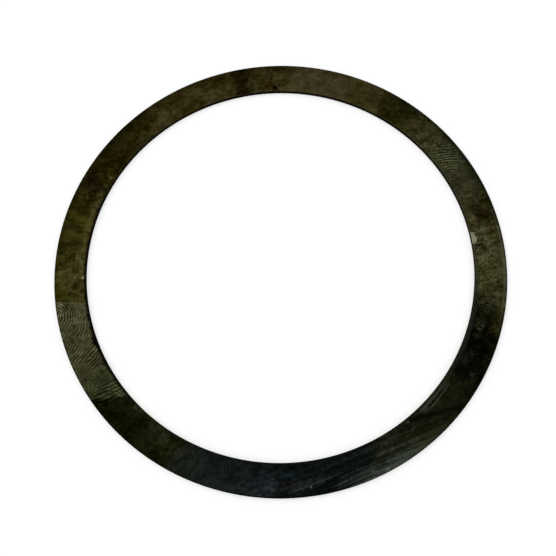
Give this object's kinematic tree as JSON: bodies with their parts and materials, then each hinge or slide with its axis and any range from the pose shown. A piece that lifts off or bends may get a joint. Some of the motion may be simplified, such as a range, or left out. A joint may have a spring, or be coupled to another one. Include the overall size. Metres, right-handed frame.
{
  "type": "adjusting shim",
  "caption": "Thin flat round steel shim that sets the axial play of a bearing or gear on a shaft, in a housing or against a shoulder.",
  "frame": {"origin": "middle of the lower face, on the bore's axis", "axes": "+Z along the bore's axis, out of the upper face with the rolled-over edges; the pit lies near +Y"},
  "size_m": [0.0698, 0.0698, 0.0008],
  "materials": {
    "oiled_steel": "blackened and oiled, handled, with finger marks, stains and light scratches"
  },
  "bodies": {
    "root": {"shim_ring": "oiled_steel"}
  },
  "joints": []
}
